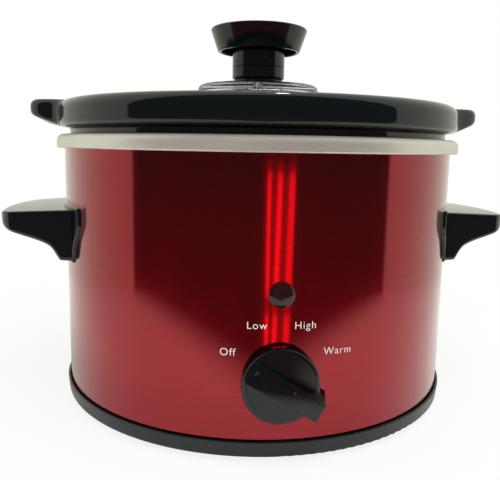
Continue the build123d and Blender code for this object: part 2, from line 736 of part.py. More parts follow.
with BuildPart() as grip_hollow:
    with BuildSketch(Plane.XY.offset(handle_low)):
        make_face(grip_plan(handle_wall))
    extrude(amount=handle_top)
    with BuildSketch(Plane.XZ.rotated((0, 0, -sweep))):
        make_face(grip_side(handle_wall))
    revolve(axis=Axis.Z, revolution_arc=2 * sweep, mode=Mode.INTERSECT)
    with BuildSketch(crown_plane):
        make_face(crown(handle_wall))
    extrude(amount=2 * wrap_radius, both=True, mode=Mode.INTERSECT)
    for angle in right_screws:
        with BuildSketch(facing(angle, 0, handle_screw_z)):
            Circle(handle_screw_radius + boss_wall)
        extrude(amount=2 * wrap_radius, mode=Mode.SUBTRACT)

with BuildPart() as handle_flange:
    with BuildSketch(Plane.XY.offset(handle_low)):
        Circle(wrap_radius + flange_thickness)
        Circle(wrap_radius, mode=Mode.SUBTRACT)
    extrude(amount=open_top - handle_low)
    with BuildSketch(Plane.YZ):
        widest = handle_top - flange_shoulder
        flange_side = [(flange_half - 1, open_top, 0), (flange_half, widest, 4),
                       (flange_waist, handle_low + flange_waist_height, 10), (flange_low_half, handle_low, 1.2)]
        make_face(outline(*flange_side, *[(-y, z, r) for y, z, r in reversed(flange_side)]))
    extrude(amount=2 * wrap_radius, mode=Mode.INTERSECT)
    with BuildSketch(crown_plane):
        make_face(crown(seat_gap))
    extrude(amount=2 * wrap_radius, both=True, mode=Mode.INTERSECT)

with BuildPart() as right_handle:
    with BuildSketch(Plane.XY.offset(handle_low)):
        make_face(grip_plan(0))
    extrude(amount=handle_top)
    with BuildSketch(Plane.XZ.rotated((0, 0, -sweep))):
        make_face(grip_side(0))
    revolve(axis=Axis.Z, revolution_arc=2 * sweep, mode=Mode.INTERSECT)
    with BuildSketch(crown_plane):
        make_face(crown(0))
    extrude(amount=2 * wrap_radius, both=True, mode=Mode.INTERSECT)
    grip_middle = handle_low + tip_height + 2
    free_edges = right_handle.edges().filter_by(lambda edge: edge.center().X > root_x + 1)
    fillet(free_edges.filter_by(lambda edge: edge.center().Z > grip_middle), handle_round)
    free_edges = right_handle.edges().filter_by(lambda edge: edge.center().X > root_x + 1)
    fillet(free_edges.filter_by(lambda edge: edge.center().Z < grip_middle), handle_low_round)
    add(handle_flange.part)
    add(grip_hollow.part, mode=Mode.SUBTRACT)
    with BuildSketch(Plane.XY):
        Circle(wrap_radius)
    extrude(amount=2 * handle_top, mode=Mode.SUBTRACT)
    for angle in right_screws:
        with BuildSketch(facing(angle, 0, handle_screw_z)):
            Circle(handle_screw_radius)
        extrude(amount=wrap_radius + handle_screw_length, mode=Mode.SUBTRACT)
right_handle.part.label = "right_handle"
export_step(right_handle.part, "parts/right_handle.step")

with BuildPart() as left_handle:
    mirror(right_handle.part, about=Plane.YZ)
left_handle.part.label = "left_handle"
export_step(left_handle.part, "parts/left_handle.step")

# Each screw sits square to the wrap, its washer against the wrap's inside.
washer_face = sqrt(wrap_inner ** 2 - washer_radius ** 2)
with BuildPart() as handle_washers:
    for angle in screw_angles:
        with BuildSketch(facing(angle, washer_face, handle_screw_z)):
            Circle(washer_radius)
            Circle(handle_screw_radius, mode=Mode.SUBTRACT)
        extrude(amount=-washer_thickness)
handle_washers.part.label = "handle_washers"
export_step(handle_washers.part, "parts/handle_washers.step")

with BuildPart() as handle_screws:
    for angle in screw_angles:
        with BuildSketch(facing(angle, washer_face - washer_thickness, handle_screw_z)):
            Circle(handle_screw_head)
        extrude(amount=-handle_screw_head_height, taper=head_taper)
        with BuildSketch(facing(angle, washer_face - washer_thickness, handle_screw_z)):
            Circle(handle_screw_radius)
        extrude(amount=wrap_radius - washer_face + washer_thickness + handle_screw_length - 1)
handle_screws.part.label = "handle_screws"
export_step(handle_screws.part, "parts/handle_screws.step")

# ---------------------------------------------------------------- control: switch, spindle, knob
switch_face = wrap_inner - switch_pad
with BuildPart() as switch_seat:
    with BuildSketch(facing(-90, switch_face, control_height)):
        RectangleRounded(switch_size - 4, switch_size - 4, 2)
        Circle(bush_radius, mode=Mode.SUBTRACT)
    extrude(amount=2 * switch_pad)
    with BuildSketch(Plane.XY):
        Circle(wrap_inner - pad_gap)
    extrude(amount=2 * control_height, mode=Mode.INTERSECT)
switch_seat.part.label = "switch_seat"
export_step(switch_seat.part, "parts/switch_seat.step")

with BuildPart() as rotary_switch:
    with BuildSketch(facing(-90, switch_face, control_height)):
        RectangleRounded(switch_size, switch_size, 3)
    extrude(amount=-switch_depth)
    fillet(rotary_switch.edges().group_by(Axis.Y)[-1], 0.8)
    with BuildSketch(facing(-90, switch_face, control_height)):
        Circle(bush_radius)
    extrude(amount=switch_pad + wrap_sheet + bush_reach)
    with BuildSketch(facing(-90, switch_face - spindle_back, control_height)):
        Circle(spindle_radius + shaft_gap)
    extrude(amount=2 * spindle_back + switch_pad, mode=Mode.SUBTRACT)
    with BuildSketch(facing(-90, switch_face - switch_depth, control_height)):
        with GridLocations(tab_pitch, tab_rows, 3, 2):
            Rectangle(tab_width, tab_thickness)
    extrude(amount=-tab_length)
rotary_switch.part.label = "rotary_switch"
export_step(rotary_switch.part, "parts/rotary_switch.step")

with BuildPart() as switch_nut:
    with BuildSketch(front):
        RegularPolygon(nut_flats / 2, 6, major_radius=False)
        Circle(bush_radius, mode=Mode.SUBTRACT)
    extrude(amount=nut_height)
switch_nut.part.label = "switch_nut"
export_step(switch_nut.part, "parts/switch_nut.step")

# The grip's long axis, in the plane of the knob; its nose is the pointer.
tail_turn = radians(pointer_angle - 180)
tail_way = Vector(cos(tail_turn), 0, sin(tail_turn))
across_way = Vector(-sin(tail_turn), 0, cos(tail_turn))
axis_point = Vector(0, -wrap_radius, control_height)
skirt_top = knob_gap + knob_skirt


def grip_section(along):
    # Plane across the grip, at a distance from the knob's axis towards the tail.
    return Plane(origin=axis_point + tail_way * along, x_dir=across_way, z_dir=tail_way)


with BuildPart() as switch_shaft:
    with BuildSketch(facing(-90, switch_face - spindle_back + seat_gap, control_height)):
        Circle(spindle_radius)
    extrude(amount=spindle_back - seat_gap + switch_pad + wrap_sheet + bush_reach)
    with BuildSketch(facing(-90, wrap_radius + bush_reach, control_height)):
        Circle(spindle_radius)
        with Locations(Location((0, 0), pointer_angle - 90)):
            with Locations((0, spindle_flat)):
                Rectangle(2 * spindle_radius, 2 * spindle_radius, align=(Align.CENTER, Align.MIN),
                          mode=Mode.SUBTRACT)
    extrude(amount=spindle_reach - bush_reach)
switch_shaft.part.label = "switch_shaft"
export_step(switch_shaft.part, "parts/switch_shaft.step")

with BuildPart() as control_knob:
    with BuildSketch(front.offset(knob_gap)):
        Circle(knob_radius)
    extrude(amount=knob_skirt)
    fillet(control_knob.edges().group_by(Axis.Y)[0], knob_round)
    with BuildSketch(grip_section(-grip_nose)):
        make_face(outline((-grip_low_half, knob_gap + 1, 0), (grip_low_half, knob_gap + 1, 0),
                          (grip_low_half - grip_edge, skirt_top + grip_edge, 0),
                          (grip_edge - grip_low_half, skirt_top + grip_edge, 0)))
    with BuildSketch(grip_section(grip_tail)):
        foot_half = grip_high_half + grip_draft
        make_face(outline((-foot_half, knob_gap + 1, 0), (foot_half, knob_gap + 1, 0),
                          (grip_high_half, skirt_top + grip_rise, 0),
                          (-grip_high_half, skirt_top + grip_rise, 0)))
    loft(ruled=True)
    dot_rise = grip_edge + grip_rise * (grip_nose - dot_reach) / (grip_nose + grip_tail)
    with BuildSketch(front.offset(skirt_top + dot_rise - dot_depth)):
        with PolarLocations(dot_reach, 1, pointer_angle):
            Circle(dot_radius)
    extrude(amount=2 * dot_depth, mode=Mode.SUBTRACT)
    with BuildSketch(front.offset(knob_gap)):
        Circle(knob_pocket)
    extrude(amount=knob_skirt - knob_plate, mode=Mode.SUBTRACT)
    with BuildSketch(front.offset(bush_reach + seat_gap)):
        Circle(hub_radius)
    extrude(amount=skirt_top - bush_reach - seat_gap)
    with BuildSketch(front.offset(bush_reach + seat_gap)):
        Circle(spindle_radius)
        with Locations(Location((0, 0), pointer_angle - 90)):
            with Locations((0, spindle_flat)):
                Rectangle(2 * spindle_radius, 2 * spindle_radius, align=(Align.CENTER, Align.MIN),
                          mode=Mode.SUBTRACT)
    extrude(amount=spindle_reach - bush_reach - seat_gap + 0.2, mode=Mode.SUBTRACT)
control_knob.part.label = "control_knob"
export_step(control_knob.part, "parts/control_knob.step")

# ---------------------------------------------------------------- indicator lamp
lamp_axis = Axis((0, -wrap_radius, lamp_height), (0, -1, 0))
lamp_section = Plane(origin=(0, -wrap_radius, lamp_height), x_dir=(1, 0, 0), z_dir=(0, 0, -1))
dome_height = lens_height - lens_flange
dome_radius = (lens_radius ** 2 + dome_height ** 2) / (2 * dome_height)
dome_middle = lens_height - dome_radius
lens_bore = lens_barrel - lens_wall
with BuildPart() as lamp_lens:
    with BuildSketch(lamp_section):
        with BuildLine():
            dome_half = degrees(atan2(lens_radius, lens_flange - dome_middle))
            dome = CenterArc((0, dome_middle), dome_radius, 90 - dome_half, dome_half)
            Polyline(dome @ 1, (0, lens_flange), (lens_bore, 0), (lens_bore, -lens_barrel_length),
                     (lens_barrel, -lens_barrel_length), (lens_barrel, 0), (lens_radius, 0), dome @ 0)
        make_face()
    revolve(axis=lamp_axis)
lamp_lens.part.label = "lamp_lens"
export_step(lamp_lens.part, "parts/lamp_lens.step")

with BuildPart() as neon_lamp:
    with BuildSketch(lamp_section):
        make_face(outline((0, -0.4, 0), (lens_bore, -0.4, 1.6), (lens_bore, -lens_barrel_length - 1, 0.6),
                          (0, -lens_barrel_length - 1, 0)))
    revolve(axis=lamp_axis)
neon_lamp.part.label = "neon_lamp"
export_step(neon_lamp.part, "parts/neon_lamp.step")

retainer_face = sqrt(wrap_inner ** 2 - retainer_radius ** 2)
with BuildPart() as lamp_retainer:
    with BuildSketch(facing(-90, retainer_face, lamp_height)):
        Circle(retainer_radius)
        Circle(lens_barrel, mode=Mode.SUBTRACT)
    extrude(amount=-retainer_thickness)
lamp_retainer.part.label = "lamp_retainer"
export_step(lamp_retainer.part, "parts/lamp_retainer.step")
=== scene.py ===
import math
import bmesh
import bpy
from mathutils import Matrix, Vector


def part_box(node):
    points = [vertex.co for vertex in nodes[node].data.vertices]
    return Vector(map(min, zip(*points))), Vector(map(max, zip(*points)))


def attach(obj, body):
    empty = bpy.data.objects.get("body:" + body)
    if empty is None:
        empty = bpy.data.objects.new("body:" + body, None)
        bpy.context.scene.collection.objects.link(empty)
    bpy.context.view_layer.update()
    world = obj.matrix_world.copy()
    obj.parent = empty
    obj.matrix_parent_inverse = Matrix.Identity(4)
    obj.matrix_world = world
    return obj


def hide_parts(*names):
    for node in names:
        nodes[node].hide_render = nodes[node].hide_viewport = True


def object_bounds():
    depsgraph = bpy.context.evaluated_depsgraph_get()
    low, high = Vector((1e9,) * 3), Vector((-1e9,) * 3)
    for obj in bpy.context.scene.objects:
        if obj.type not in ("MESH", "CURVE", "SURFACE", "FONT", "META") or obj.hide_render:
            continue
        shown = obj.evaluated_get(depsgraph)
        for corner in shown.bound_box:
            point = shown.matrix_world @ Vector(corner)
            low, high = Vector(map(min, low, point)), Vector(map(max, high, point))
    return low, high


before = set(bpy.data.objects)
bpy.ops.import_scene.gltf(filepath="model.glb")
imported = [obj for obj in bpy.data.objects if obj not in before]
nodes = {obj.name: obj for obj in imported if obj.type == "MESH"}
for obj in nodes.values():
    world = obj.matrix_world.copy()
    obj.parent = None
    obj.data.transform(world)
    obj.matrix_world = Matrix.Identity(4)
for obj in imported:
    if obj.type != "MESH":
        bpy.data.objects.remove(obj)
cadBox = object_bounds()
mm = 0.001


def edge(node, side, axis):
    # One face of a node's box, in millimetres: side 0 is the low one, axis 0 to 2 is X to Z.
    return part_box(node)[side][axis] / mm


print("Frame loaded:", len(nodes), "nodes")


def newGroup(name, inputs, outputs):
    # Shader node group with float inputs (name, value) and outputs (name, type).
    tree = bpy.data.node_groups.new(name, "ShaderNodeTree")
    for label, value in inputs:
        socket = tree.interface.new_socket(label, in_out="INPUT", socket_type="NodeSocketFloat")
        socket.default_value = value
    for label, kind in outputs:
        tree.interface.new_socket(label, in_out="OUTPUT", socket_type=kind)
    return tree, tree.nodes.new("NodeGroupInput"), tree.nodes.new("NodeGroupOutput")


def addNode(tree, kind, links=(), **settings):
    # New node; links are (input name or index, source socket or plain value).
    node = tree.nodes.new(kind)
    for name, value in settings.items():
        setattr(node, name, value)
    for slot, source in links:
        if isinstance(source, bpy.types.NodeSocket):
            tree.links.new(source, node.inputs[slot])
        else:
            node.inputs[slot].default_value = source
    return node


def calc(tree, operation, first, second=0.0, clamp=False):
    return addNode(tree, "ShaderNodeMath", [(0, first), (1, second)],
                   operation=operation, use_clamp=clamp).outputs[0]


def rampOf(tree, value, low, high, first=0.0, last=1.0, **settings):
    return addNode(tree, "ShaderNodeMapRange", [("Value", value), ("From Min", low), ("From Max", high),
                                               ("To Min", first), ("To Max", last)], **settings).outputs[0]


def mixColours(tree, factor, first, second):
    return addNode(tree, "ShaderNodeMix", [(0, factor), (6, first), (7, second)], data_type="RGBA").outputs[2]


def makeBrushGroup():
    # Fine lines that run round the Z axis, as a brushing belt leaves them on rolled sheet.
    tree, given, result = newGroup(
        "brushedLines",
        [("Lines per metre", 9000.0), ("Along", 14.0), ("Cloud", 18.0), ("Depth", 0.9)],
        [("Lines", "NodeSocketFloat"), ("Clouds", "NodeSocketFloat")])
    place = addNode(tree, "ShaderNodeTexCoord").outputs["Object"]
    split = addNode(tree, "ShaderNodeSeparateXYZ", [(0, place)])
    flat = addNode(tree, "ShaderNodeCombineXYZ", [(0, split.outputs[0]), (1, split.outputs[1])])
    unit = addNode(tree, "ShaderNodeVectorMath", [(0, flat.outputs[0])], operation="NORMALIZE")
    around = addNode(tree, "ShaderNodeSeparateXYZ", [(0, unit.outputs[0])])
    height = calc(tree, "MULTIPLY", split.outputs[2], given.outputs["Lines per metre"])
    across = [calc(tree, "MULTIPLY", around.outputs[i], given.outputs["Along"]) for i in (0, 1)]
    drawn = addNode(tree, "ShaderNodeCombineXYZ", [(0, across[0]), (1, across[1]), (2, height)])
    fine = addNode(tree, "ShaderNodeTexNoise", [("Vector", drawn.outputs[0]), ("Scale", 1.0), ("Detail", 3.0),
                                               ("Roughness", 0.7)])
    cloud = addNode(tree, "ShaderNodeTexNoise", [("Vector", place), ("Scale", given.outputs["Cloud"]),
                                                ("Detail", 2.0)])
    centred = calc(tree, "SUBTRACT", fine.outputs[0], 0.5)
    lines = calc(tree, "ADD", calc(tree, "MULTIPLY", centred, given.outputs["Depth"]), 0.5, True)
    tree.links.new(lines, result.inputs["Lines"])
    tree.links.new(cloud.outputs[0], result.inputs["Clouds"])
    return tree


def makeMouldGroup():
    # What a moulded or glazed skin has: a faint long ripple, a fine grain and a little settled dust.
    tree, given, result = newGroup(
        "mouldedSkin",
        [("Ripple scale", 60.0), ("Grain scale", 2500.0), ("Grain", 0.3), ("Dust", 0.1),
         ("Speck scale", 160.0), ("Speck radius", 0.07), ("Patch scale", 35.0),
         ("Base roughness", 0.2), ("Roughness spread", 0.12)],
        [("Height", "NodeSocketFloat"), ("Roughness", "NodeSocketFloat"), ("Dust", "NodeSocketFloat")])
    place = addNode(tree, "ShaderNodeTexCoord").outputs["Object"]
    ripple = addNode(tree, "ShaderNodeTexNoise", [("Vector", place), ("Scale", given.outputs["Ripple scale"]),
                                                 ("Detail", 1.0)])
    grain = addNode(tree, "ShaderNodeTexNoise", [("Vector", place), ("Scale", given.outputs["Grain scale"]),
                                                ("Detail", 2.0)])
    specks = addNode(tree, "ShaderNodeTexVoronoi", [("Vector", place), ("Scale", given.outputs["Speck scale"])])
    speckMask = calc(tree, "LESS_THAN", specks.outputs["Distance"], given.outputs["Speck radius"])
    patch = addNode(tree, "ShaderNodeTexNoise", [("Vector", place), ("Scale", given.outputs["Patch scale"]),
                                                ("Detail", 3.0)])
    patchMask = calc(tree, "MULTIPLY", calc(tree, "SUBTRACT", patch.outputs[0], 0.5, True), 2.0, True)
    dust = calc(tree, "MULTIPLY", calc(tree, "MULTIPLY", speckMask, patchMask), given.outputs["Dust"], True)
    grainHeight = calc(tree, "MULTIPLY", grain.outputs[0], given.outputs["Grain"])
    height = calc(tree, "ADD", ripple.outputs[0], grainHeight)
    centred = calc(tree, "SUBTRACT", patch.outputs[0], 0.5)
    spread = calc(tree, "MULTIPLY", centred, given.outputs["Roughness spread"])
    rough = calc(tree, "ADD", calc(tree, "ADD", given.outputs["Base roughness"], spread), dust, True)
    tree.links.new(height, result.inputs["Height"])
    tree.links.new(rough, result.inputs["Roughness"])
    tree.links.new(dust, result.inputs["Dust"])
    return tree


brushedLines = makeBrushGroup()
mouldedSkin = makeMouldGroup()


def newMaterial(name, **values):
    # Material with a Principled BSDF; values are its plain sockets, underscores for spaces.
    material = bpy.data.materials.new(name)
    material.use_nodes = True
    shader = material.node_tree.nodes["Principled BSDF"]
    for label, value in values.items():
        shader.inputs[label.replace("_", " ")].default_value = value
    return material, material.node_tree, shader


def rgb(red, green, blue):
    return (red, green, blue, 1.0)


def bumped(tree, shader, height, distance, strength=1.0):
    bump = addNode(tree, "ShaderNodeBump", [("Height", height), ("Strength", strength), ("Distance", distance)])
    tree.links.new(bump.outputs[0], shader.inputs["Normal"])


def brushedSheet(name, dark, light, roughness, spread, bump, lines, aroundZ=False, **values):
    material, tree, shader = newMaterial(name, Metallic=values.pop("Metallic", 1.0), **values)
    brush = addNode(tree, "ShaderNodeGroup", node_tree=brushedLines)
    brush.inputs["Lines per metre"].default_value = lines
    colour = mixColours(tree, brush.outputs["Lines"], dark, light)
    tree.links.new(colour, shader.inputs["Base Color"])
    rough = calc(tree, "ADD", calc(tree, "MULTIPLY", brush.outputs["Lines"], spread), roughness)
    clouded = calc(tree, "ADD", rough, calc(tree, "MULTIPLY", brush.outputs["Clouds"], spread / 2))
    tree.links.new(clouded, shader.inputs["Roughness"])
    bumped(tree, shader, brush.outputs["Lines"], 0.00002, bump)
    if aroundZ:     # lines run round the axis, so the sheen spreads up and down
        tangent = addNode(tree, "ShaderNodeTangent", direction_type="RADIAL", axis="Z")
        tree.links.new(tangent.outputs[0], shader.inputs["Tangent"])
    return material


def mouldedPiece(name, colour, dustColour, roughness, ripple, grain, dust, bump):
    material, tree, shader = newMaterial(name)
    skin = addNode(tree, "ShaderNodeGroup", node_tree=mouldedSkin)
    for label, value in (("Ripple scale", ripple), ("Grain", grain), ("Dust", dust),
                         ("Base roughness", roughness)):
        skin.inputs[label].default_value = value
    tree.links.new(mixColours(tree, skin.outputs["Dust"], colour, dustColour), shader.inputs["Base Color"])
    tree.links.new(skin.outputs["Roughness"], shader.inputs["Roughness"])
    bumped(tree, shader, skin.outputs["Height"], 0.0002, bump)
    return material


redLacquer = brushedSheet(
    "redLacquer", rgb(0.2, 0.003, 0.008), rgb(0.38, 0.007, 0.016), roughness=0.09, spread=0.06, bump=0.3,
    lines=1500.0, aroundZ=True, Anisotropic=0.6, Anisotropic_Rotation=0.25, Coat_Weight=0.75,
    Coat_Roughness=0.03, Coat_IOR=1.5)
satinSteel = brushedSheet(
    "satinSteel", rgb(0.57, 0.57, 0.5), rgb(0.86, 0.855, 0.77), roughness=0.34, spread=0.16, bump=0.3,
    lines=3800.0, aroundZ=True, Metallic=0.75, Anisotropic=0.5, Anisotropic_Rotation=0.25)
spunAluminium = brushedSheet(
    "spunAluminium", rgb(0.62, 0.62, 0.62), rgb(0.78, 0.78, 0.79), roughness=0.3, spread=0.15, bump=0.3,
    lines=1500.0)
platedSteel = brushedSheet(
    "platedSteel", rgb(0.5, 0.5, 0.5), rgb(0.66, 0.66, 0.65), roughness=0.28, spread=0.1, bump=0.1,
    lines=2500.0)
turnedBrass = brushedSheet(
    "turnedBrass", rgb(0.6, 0.42, 0.16), rgb(0.74, 0.54, 0.24), roughness=0.25, spread=0.12, bump=0.2,
    lines=5000.0)

# Moulded and glazed skins: colour, dust colour, roughness, ripple scale, grain, dust, bump.
blackMoulding = mouldedPiece(
    "blackMoulding", rgb(0.0015, 0.004, 0.005), rgb(0.3, 0.3, 0.28), 0.1, 45.0, 0.1, 0.5, 0.05)
knobMoulding = mouldedPiece(
    "knobMoulding", rgb(0.001, 0.003, 0.0035), rgb(0.3, 0.3, 0.28), 0.12, 70.0, 0.05, 0.6, 0.04)
basePlastic = mouldedPiece(
    "basePlastic", rgb(0.004, 0.0075, 0.0085), rgb(0.25, 0.25, 0.24), 0.3, 40.0, 0.6, 0.4, 0.15)
innerPlastic = mouldedPiece(
    "innerPlastic", rgb(0.02, 0.02, 0.02), rgb(0.2, 0.2, 0.2), 0.45, 40.0, 0.5, 0.3, 0.15)
footRubber = mouldedPiece(
    "footRubber", rgb(0.012, 0.012, 0.012), rgb(0.2, 0.19, 0.18), 0.7, 80.0, 1.0, 0.5, 0.3)
sealRubber = mouldedPiece(
    "sealRubber", rgb(0.5, 0.5, 0.47), rgb(0.4, 0.4, 0.38), 0.55, 80.0, 0.6, 0.2, 0.1)
blackGlaze = mouldedPiece(
    "blackGlaze", rgb(0.0015, 0.004, 0.0045), rgb(0.2, 0.2, 0.19), 0.04, 22.0, 0.0, 0.15, 0.12)
blockCeramic = mouldedPiece(
    "blockCeramic", rgb(0.72, 0.7, 0.63), rgb(0.4, 0.38, 0.34), 0.6, 50.0, 1.0, 0.3, 0.3)

wovenBand, tree, shader = newMaterial("wovenBand", Roughness=0.9)
place = addNode(tree, "ShaderNodeTexCoord").outputs["Object"]
weave = addNode(tree, "ShaderNodeTexWave", [("Vector", place), ("Scale", 320.0), ("Distortion", 1.5),
                                           ("Detail", 2.0)], bands_direction="Z")
tree.links.new(mixColours(tree, weave.outputs[1], rgb(0.42, 0.4, 0.35), rgb(0.66, 0.63, 0.57)),
               shader.inputs["Base Color"])
bumped(tree, shader, weave.outputs[1], 0.0003)


def speckled(name, scale, dark, light, **values):
    # Two close colours mixed by a fine noise.
    material, tree, shader = newMaterial(name, **values)
    place = addNode(tree, "ShaderNodeTexCoord").outputs["Object"]
    noise = addNode(tree, "ShaderNodeTexNoise", [("Vector", place), ("Scale", scale), ("Detail", 2.0)])
    tree.links.new(mixColours(tree, noise.outputs[0], dark, light), shader.inputs["Base Color"])
    return material


lidGlass = newMaterial("lidGlass", Base_Color=rgb(0.76, 0.82, 0.79), Roughness=0.05, IOR=1.5,
                       Transmission_Weight=1.0)[0]
lampGlass = newMaterial("lampGlass", Base_Color=rgb(1.0, 0.8, 0.65), Roughness=0.05, IOR=1.5,
                        Transmission_Weight=1.0)[0]
lensPlastic = speckled("lensPlastic", 900.0, rgb(0.012, 0.003, 0.003), rgb(0.02, 0.005, 0.005),
                       Roughness=0.05, IOR=1.5, Transmission_Weight=0.1)
printInk = speckled("printInk", 2600.0, rgb(0.7, 0.66, 0.63), rgb(0.92, 0.9, 0.87), Roughness=0.45)

finishes = {
    "outer_wrap": redLacquer, "rim_ring": satinSteel, "base_pan": basePlastic, "feet": footRubber,
    "heating_well": spunAluminium, "heating_band": wovenBand, "band_clamps": platedSteel,
    "clamp_bolts": platedSteel, "thermal_fuse": spunAluminium, "fuse_clip": platedSteel,
    "tie_bolt": platedSteel, "tie_washer": platedSteel, "tie_nut": platedSteel, "cord_gland": innerPlastic,
    "terminal_block": blockCeramic, "terminal_screw": turnedBrass, "crock": blackGlaze,
    "lid_glass": lidGlass, "lid_knob_collar": knobMoulding, "lid_knob_stem": knobMoulding,
    "lid_knob": knobMoulding, "lid_gasket": sealRubber, "lid_washer": platedSteel, "lid_screw": platedSteel,
    "right_handle": blackMoulding, "left_handle": blackMoulding, "handle_washers": platedSteel,
    "handle_screws": platedSteel, "switch_seat": innerPlastic, "rotary_switch": innerPlastic,
    "switch_nut": turnedBrass, "switch_shaft": turnedBrass, "control_knob": knobMoulding,
    "lamp_lens": lensPlastic, "neon_lamp": lampGlass, "lamp_retainer": platedSteel}
for name, obj in nodes.items():
    obj.data.materials.clear()
    obj.data.materials.append(finishes[name])
print("Materials made:", len({printInk, *finishes.values()}))


def roundedOutline(corners, arcSteps):
    # Points along straight runs and roundings; corners are (radius, height, rounding) in millimetres.
    points = []
    spots = [Vector((r, z)) for r, z, _ in corners]
    for index, (_, _, rounding) in enumerate(corners):
        here = spots[index]
        if rounding <= 0 or index in (0, len(corners) - 1):
            points.append(here)
            continue
        back = (spots[index - 1] - here).normalized()
        on = (spots[index + 1] - here).normalized()
        half = math.acos(max(-1.0, min(1.0, back.dot(on)))) / 2
        if half > math.radians(89.5):
            points += [here] * (arcSteps + 1)
            continue
        reach = rounding / math.tan(half)
        centre = here + (back + on).normalized() * (rounding / math.sin(half))
        first, last = here + back * reach - centre, here + on * reach - centre
        turn = math.atan2(first.x * last.y - first.y * last.x, first.dot(last))
        for step in range(arcSteps + 1):
            angle = turn * step / arcSteps
            points.append(centre + Vector((first.x * math.cos(angle) - first.y * math.sin(angle),
                                           first.x * math.sin(angle) + first.y * math.cos(angle))))
    return points


def sectionObject(name, points):
    # The section's points as a row of vertices that the turning tree reads by number.
    mesh = bpy.data.meshes.new(name)
    mesh.from_pydata([(p.x * mm, 0.0, p.y * mm) for p in points],
                     [(i, i + 1) for i in range(len(points) - 1)], [])
    obj = bpy.data.objects.new(name, mesh)
    bpy.context.scene.collection.objects.link(obj)
    return obj


def makeTurningTree():
    # Turns a section round Z. Near +X and -X it passes over into a second section, for a piece with lugs.
    tree = bpy.data.node_groups.new("turnedPiece", "GeometryNodeTree")
    for label, kind in (("Section", "NodeSocketObject"), ("Lug section", "NodeSocketObject"),
                        ("Points", "NodeSocketInt"), ("Steps", "NodeSocketInt"),
                        ("Lug half angle", "NodeSocketFloat"), ("Lug blend", "NodeSocketFloat"),
                        ("Material", "NodeSocketMaterial")):
        tree.interface.new_socket(label, in_out="INPUT", socket_type=kind)
    tree.interface.new_socket("Geometry", in_out="OUTPUT", socket_type="NodeSocketGeometry")
    given, result = tree.nodes.new("NodeGroupInput"), tree.nodes.new("NodeGroupOutput")

    columns = calc(tree, "ADD", given.outputs["Steps"], 1.0)
    grid = addNode(tree, "GeometryNodeMeshGrid",
                   [("Vertices X", columns), ("Vertices Y", given.outputs["Points"])])
    number = addNode(tree, "GeometryNodeInputIndex").outputs[0]
    shared = calc(tree, "DIVIDE", calc(tree, "ADD", number, 0.5), given.outputs["Points"])
    column = calc(tree, "FLOOR", shared)
    row = calc(tree, "SUBTRACT", number, calc(tree, "MULTIPLY", column, given.outputs["Points"]))
    angle = calc(tree, "MULTIPLY", calc(tree, "DIVIDE", column, given.outputs["Steps"]), 2 * math.pi)
    spots = []
    for label in ("Section", "Lug section"):
        info = addNode(tree, "GeometryNodeObjectInfo", [("Object", given.outputs[label])])
        place = addNode(tree, "GeometryNodeInputPosition").outputs[0]
        sample = addNode(tree, "GeometryNodeSampleIndex", [("Geometry", info.outputs["Geometry"])],
                         data_type="FLOAT_VECTOR", domain="POINT")
        vectorIn = [s for s in sample.inputs if s.name == "Value" and s.enabled][0]
        tree.links.new(place, vectorIn)
        tree.links.new(row, sample.inputs["Index"])
        spots.append([s for s in sample.outputs if s.enabled][0])
    # The angle from the nearer of +X and -X.
    sideways = calc(tree, "ABSOLUTE", calc(tree, "COSINE", angle))
    aside = calc(tree, "ABSOLUTE", calc(tree, "ARCTAN2", calc(tree, "SINE", angle), sideways))
    lugEdge = calc(tree, "SUBTRACT", given.outputs["Lug half angle"], given.outputs["Lug blend"])
    share = rampOf(tree, aside, lugEdge, given.outputs["Lug half angle"], 1.0, 0.0,
                   interpolation_type="SMOOTHERSTEP")
    blend = addNode(tree, "ShaderNodeMix", [(0, share), (4, spots[0]), (5, spots[1])], data_type="VECTOR")
    turned = addNode(tree, "ShaderNodeVectorRotate", [("Vector", blend.outputs[1]), ("Angle", angle)],
                     rotation_type="Z_AXIS")
    moved = addNode(tree, "GeometryNodeSetPosition", [("Geometry", grid.outputs["Mesh"]),
                                                     ("Position", turned.outputs[0])])
    closed = addNode(tree, "GeometryNodeMergeByDistance", [("Geometry", moved.outputs[0]),
                                                          ("Distance", 0.000004)])
    real = addNode(tree, "GeometryNodeRealizeInstances", [("Geometry", closed.outputs[0])])
    dressed = addNode(tree, "GeometryNodeSetMaterial", [("Geometry", real.outputs[0]),
                                                       ("Material", given.outputs["Material"])])
    tree.links.new(dressed.outputs[0], result.inputs[0])
    return tree


turnedPiece = makeTurningTree()


def setInputs(modifier, values):
    # Geometry Nodes inputs are set by identifier.
    for item in modifier.node_group.interface.items_tree:
        if item.in_out == "INPUT" and item.name in values:
            modifier[item.identifier] = values[item.name]


def bakeNodes(name, tree, values):
    # Runs a tree on an empty carrier and gives its result as a plain mesh object at the origin.
    carrier = bpy.data.objects.new(name + "Carrier", bpy.data.meshes.new(name + "Carrier"))
    bpy.context.scene.collection.objects.link(carrier)
    modifier = carrier.modifiers.new(name, "NODES")
    modifier.node_group = tree
    setInputs(modifier, values)
    bpy.context.view_layer.update()
    made = bpy.data.meshes.new_from_object(carrier.evaluated_get(bpy.context.evaluated_depsgraph_get()))
    bpy.data.objects.remove(carrier)
    made.name = name
    piece = bpy.data.objects.new(name, made)
    bpy.context.scene.collection.objects.link(piece)
    return piece


def shadeByAngle(piece, degrees=35.0):
    shape = bmesh.new()
    shape.from_mesh(piece.data)
    bmesh.ops.recalc_face_normals(shape, faces=shape.faces)
    shape.to_mesh(piece.data)
    shape.free()
    piece.data.shade_smooth()
    piece.data.set_sharp_from_angle(angle=math.radians(degrees))


